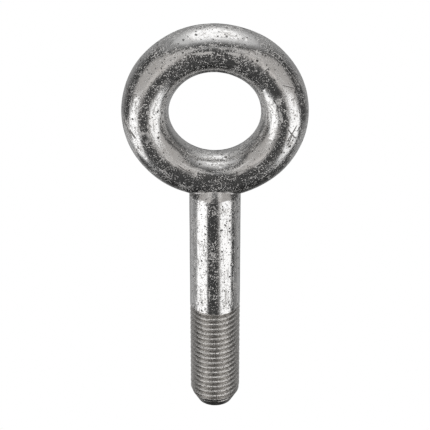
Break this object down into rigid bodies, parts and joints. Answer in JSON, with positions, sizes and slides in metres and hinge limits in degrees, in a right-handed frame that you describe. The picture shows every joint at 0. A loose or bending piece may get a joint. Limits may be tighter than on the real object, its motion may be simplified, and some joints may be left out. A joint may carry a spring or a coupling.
{
  "type": "eye bolt",
  "caption": "Forged lifting eye bolt: a closed round-section ring on a plain cylindrical shank with a coarse metric thread and a chamfered flat end.",
  "frame": {"origin": "centre of the flat end face of the threaded end", "axes": "+Z along the shank from the thread towards the eye; the eye lies in the XZ plane and its hole runs along Y"},
  "size_m": [0.1064, 0.03, 0.251],
  "materials": {
    "forged_steel": "bright worn steel with fine pits and scratches",
    "rolled_thread": "worn steel thread, duller than the shank"
  },
  "bodies": {
    "root": {"eye_ring": "forged_steel", "neck": "forged_steel", "shank": "forged_steel", "threaded_end": "rolled_thread"}
  },
  "joints": []
}
